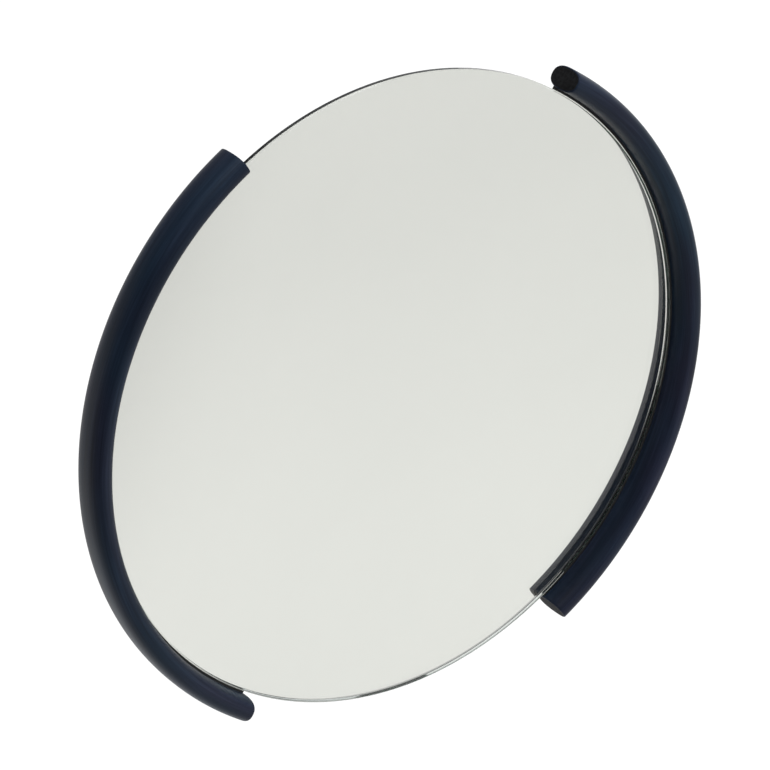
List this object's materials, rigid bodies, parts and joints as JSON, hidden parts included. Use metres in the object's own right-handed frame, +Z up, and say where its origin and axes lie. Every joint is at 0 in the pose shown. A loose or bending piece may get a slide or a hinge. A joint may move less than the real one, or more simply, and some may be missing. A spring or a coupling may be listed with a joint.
{
  "type": "countertop mirror",
  "caption": "Round leaning counter mirror: a frameless glass disc between oval dark wooden bars bent round its left and right, on a folding back strut.",
  "frame": {"origin": "on the counter, under the middle of the object's box, with the strut open", "axes": "+X to the viewer's right along the width, +Y to the back, through the thin way, +Z up; the glass faces -Y and leans 10 degrees back"},
  "size_m": [0.4314, 0.1072, 0.3963],
  "materials": {
    "clear_glass": "clear 4 mm float glass with a ground and polished rim",
    "silver": "silvered and copper-free backed",
    "backing_film": "woven-faced safety film, matt grey",
    "stained_wood": "blue-black stain under a satin lacquer, fine grain along the bar",
    "black_steel": "fine-textured black powder coat",
    "zinc_steel": "bright zinc plate",
    "foam_tape": "closed-cell foam",
    "nylon": "natural nylon",
    "black_rubber": "matt moulded rubber"
  },
  "bodies": {
    "mirror": {"mirror_glass": "clear_glass", "silver_coating": "silver", "safety_film": "backing_film", "left_bar": "stained_wood", "right_bar": "stained_wood", "upper_rail": "black_steel", "lower_rail": "black_steel", "back_spine": "black_steel", "hinge_leaf": "black_steel", "upper_left_tape": "foam_tape", "upper_right_tape": "foam_tape", "lower_left_tape": "foam_tape", "lower_right_tape": "foam_tape", "spine_pad": "foam_tape", "left_rim_strip": "black_rubber", "right_rim_strip": "black_rubber", "left_bar_screws": "zinc_steel", "right_bar_screws": "zinc_steel", "upper_rivets": "zinc_steel", "lower_rivets": "zinc_steel", "hinge_pin": "zinc_steel", "left_hinge_washer": "nylon", "right_hinge_washer": "nylon", "front_foot": "black_rubber"},
    "strut": {"strut_leg": "black_steel", "strut_shoe": "black_rubber"}
  },
  "joints": [
    {"name": "strut_fold", "type": "hinge", "parent": "mirror", "child": "strut", "pos_m": [0, 0.01934, 0.284], "axis": [1, 0, 0], "range_deg": [-16, 0]}
  ]
}
